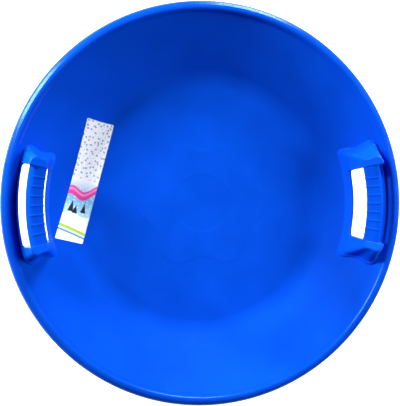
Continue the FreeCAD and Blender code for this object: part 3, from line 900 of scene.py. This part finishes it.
# A thin strip laid on the bend: a grid across and along whose half width draws in over the rounded ends as a
# circle does, lifted from the dish along its normal by the glue's gap and then by the film's thickness
def makeFilm():
    half, long, radius = film["width"] / 2, film["length"] / 2, film["round"]
    nearEnd = radius * (1.0 - np.cos(np.linspace(0.0, 0.5 * np.pi, 7)))
    straight = np.linspace(-long + radius, long - radius, film["stepsAlong"])[1:-1]
    along = np.concatenate([-long + nearEnd, straight, long - nearEnd[::-1]])
    intoRound = np.maximum(np.abs(along) - (long - radius), 0.0)
    reach = half - radius + np.sqrt(np.maximum(radius**2 - intoRound**2, 0.0))
    across = np.linspace(-1.0, 1.0, film["stepsAcross"])[None, :] * reach[:, None]
    along = along[:, None] * (1.0 + film["taper"] * across / half)
    middle = cornerRadius - film["inset"]
    turnCos, turnSin = math.cos(film["turn"]), math.sin(film["turn"])
    x = -middle * math.cos(film["bearing"]) + across * turnCos + along * turnSin
    y = middle * math.sin(film["bearing"]) - across * turnSin + along * turnCos
    radial = np.hypot(x, y)
    lean = np.arcsin(np.clip((radial - floorEdge) / bowl["bend"], 0.0, slopeSin))
    skins = []
    for lift in (film["gap"] + film["thickness"], film["gap"]):
        shrink = 1.0 - lift * np.sin(lean) / radial
        skins.append(np.stack([x * shrink, y * shrink, innerHeight(radial) + lift * np.cos(lean)], axis=-1))
    rows, columns = along.shape
    count = rows * columns
    points = np.concatenate([skin.reshape(-1, 3) for skin in skins])
    index = np.arange(count).reshape(rows, columns)
    border = np.concatenate([index[0, :-1], index[:-1, -1], index[-1, :0:-1], index[:0:-1, 0]])
    following = np.roll(border, -1)
    strips = np.stack([border, following, following + count, border + count], axis=-1)
    quads = gridQuads(rows, columns)
    groups = [quads, quads[:, ::-1] + count, strips[:, ::-1]]
    piece = makePiece("printed_film", points, groups, printedFilm, ["label"])
    place = np.stack([across / film["width"] + 0.5, along / film["length"] + 0.5], axis=-1).reshape(-1, 2)
    corner = np.empty(len(piece.data.loops), dtype=np.int32)
    piece.data.loops.foreach_get("vertex_index", corner)
    layer = piece.data.uv_layers.new(name="filmPlace")
    layer.data.foreach_set("uv", place[corner % count].astype(np.float32).reshape(-1))


makeFilm()


studio = {
    "floorSize": 8.0,
    "floorDrop": 0.0004,  # below the sled
    "floorColour": (0.92, 0.92, 0.92, 1.0),
    "floorRough": 0.9,
    "floorGlow": 1.0,
    "ambient": 0.02,  # strength of the even light
    "aimHeight": 0.05,  # of the point that the lamps face
}


# A wide pale floor just below the sled that glows like a lit sweep
def makeFloor():
    finish = Finish("paleFloor")
    finish.shader.inputs["Base Color"].default_value = studio["floorColour"]
    finish.shader.inputs["Roughness"].default_value = studio["floorRough"]
    finish.shader.inputs["Emission Color"].default_value = (1.0, 1.0, 1.0, 1.0)
    finish.shader.inputs["Emission Strength"].default_value = studio["floorGlow"]
    half = studio["floorSize"] / 2
    mesh = bpy.data.meshes.new("studioFloor")
    low = -studio["floorDrop"]
    points = [(-half, -half, low), (half, -half, low), (half, half, low), (-half, half, low)]
    mesh.from_pydata(points, [], [(0, 1, 2, 3)])
    mesh.materials.append(finish.material)
    floor = bpy.data.objects.new("studioFloor", mesh)
    bpy.context.scene.collection.objects.link(floor)


makeFloor()

lights = [
    # name, bearing from +X and height above the floor in degrees, distance, size, watts, seen in the gloss
    ("keyLight", 144.0, 28.0, 1.6, 0.45, 32.0, True),
    ("edgeLight", 160.0, 6.5, 1.6, 0.20, 27.0, False),
    ("sideLight", 70.0, 20.0, 1.6, 0.50, 26.0, True),
    ("fillLight", 12.0, 35.0, 1.6, 0.90, 28.0, False),
]


# Soft square lamps on a half sphere round the sled, facing its middle, and a faint even light from all round
def makeLights():
    aim = Vector((0.0, 0.0, studio["aimHeight"]))
    for name, bearing, rise, distance, size, watts, inGloss in lights:
        level = math.cos(math.radians(rise))
        turn = math.radians(bearing)
        towards = Vector((level * math.cos(turn), level * math.sin(turn), math.sin(math.radians(rise))))
        lamp = bpy.data.lights.new(name, "AREA")
        lamp.shape = "SQUARE"
        lamp.size = size
        lamp.energy = watts
        holder = bpy.data.objects.new(name, lamp)
        holder.location = aim + towards * distance
        holder.visible_glossy = inGloss
        holder.rotation_euler = (-towards).to_track_quat("-Z", "Y").to_euler()
        bpy.context.scene.collection.objects.link(holder)
    world = bpy.data.worlds.new("softRoom")
    world.use_nodes = True
    world.node_tree.nodes["Background"].inputs["Color"].default_value = (1.0, 1.0, 1.0, 1.0)
    world.node_tree.nodes["Background"].inputs["Strength"].default_value = studio["ambient"]
    bpy.context.scene.world = world


makeLights()


view = {
    "tilt": math.radians(9.16),  # from straight above
    "bearing": math.radians(173.39),  # of the tilt, from +X
    "roll": math.radians(-0.18),
    "distance": 0.800,  # from the middle of the rim's plane
    "planeHeight": 0.085,  # of that plane
    "offset": (-0.01705, 0.0019),  # to the right and up in the picture
    "focalPixels": 540.4,  # focal length over the size of a pixel
    "imageHeight": 406.0,
    "sensor": 36.0,
    "clipStart": 0.01,
}


# Camera above the sled, from the tilt and bearing of its line of sight and the roll about it
def makeCamera():
    tilt, bearing = view["tilt"], view["bearing"]
    sight = Vector((math.sin(tilt) * math.cos(bearing), math.sin(tilt) * math.sin(bearing), math.cos(tilt)))
    level = Vector((0.0, 1.0, 0.0)).cross(sight).normalized()
    upright = sight.cross(level)
    turnCos, turnSin = math.cos(view["roll"]), math.sin(view["roll"])
    right = level * turnCos + upright * turnSin
    up = upright * turnCos - level * turnSin
    place = right * view["offset"][0] + up * view["offset"][1] + sight * view["distance"]
    place.z += view["planeHeight"]
    lens = bpy.data.cameras.new("photoCamera")
    lens.sensor_width = view["sensor"]
    lens.lens = view["focalPixels"] * view["sensor"] / view["imageHeight"]
    lens.clip_start = view["clipStart"]
    camera = bpy.data.objects.new("photoCamera", lens)
    axes = Matrix((right, up, sight)).transposed().to_4x4()
    camera.matrix_world = Matrix.Translation(place) @ axes
    bpy.context.scene.collection.objects.link(camera)
    bpy.context.scene.camera = camera


makeCamera()
bpy.context.scene.view_settings.view_transform = "Standard"
print("studio ready")
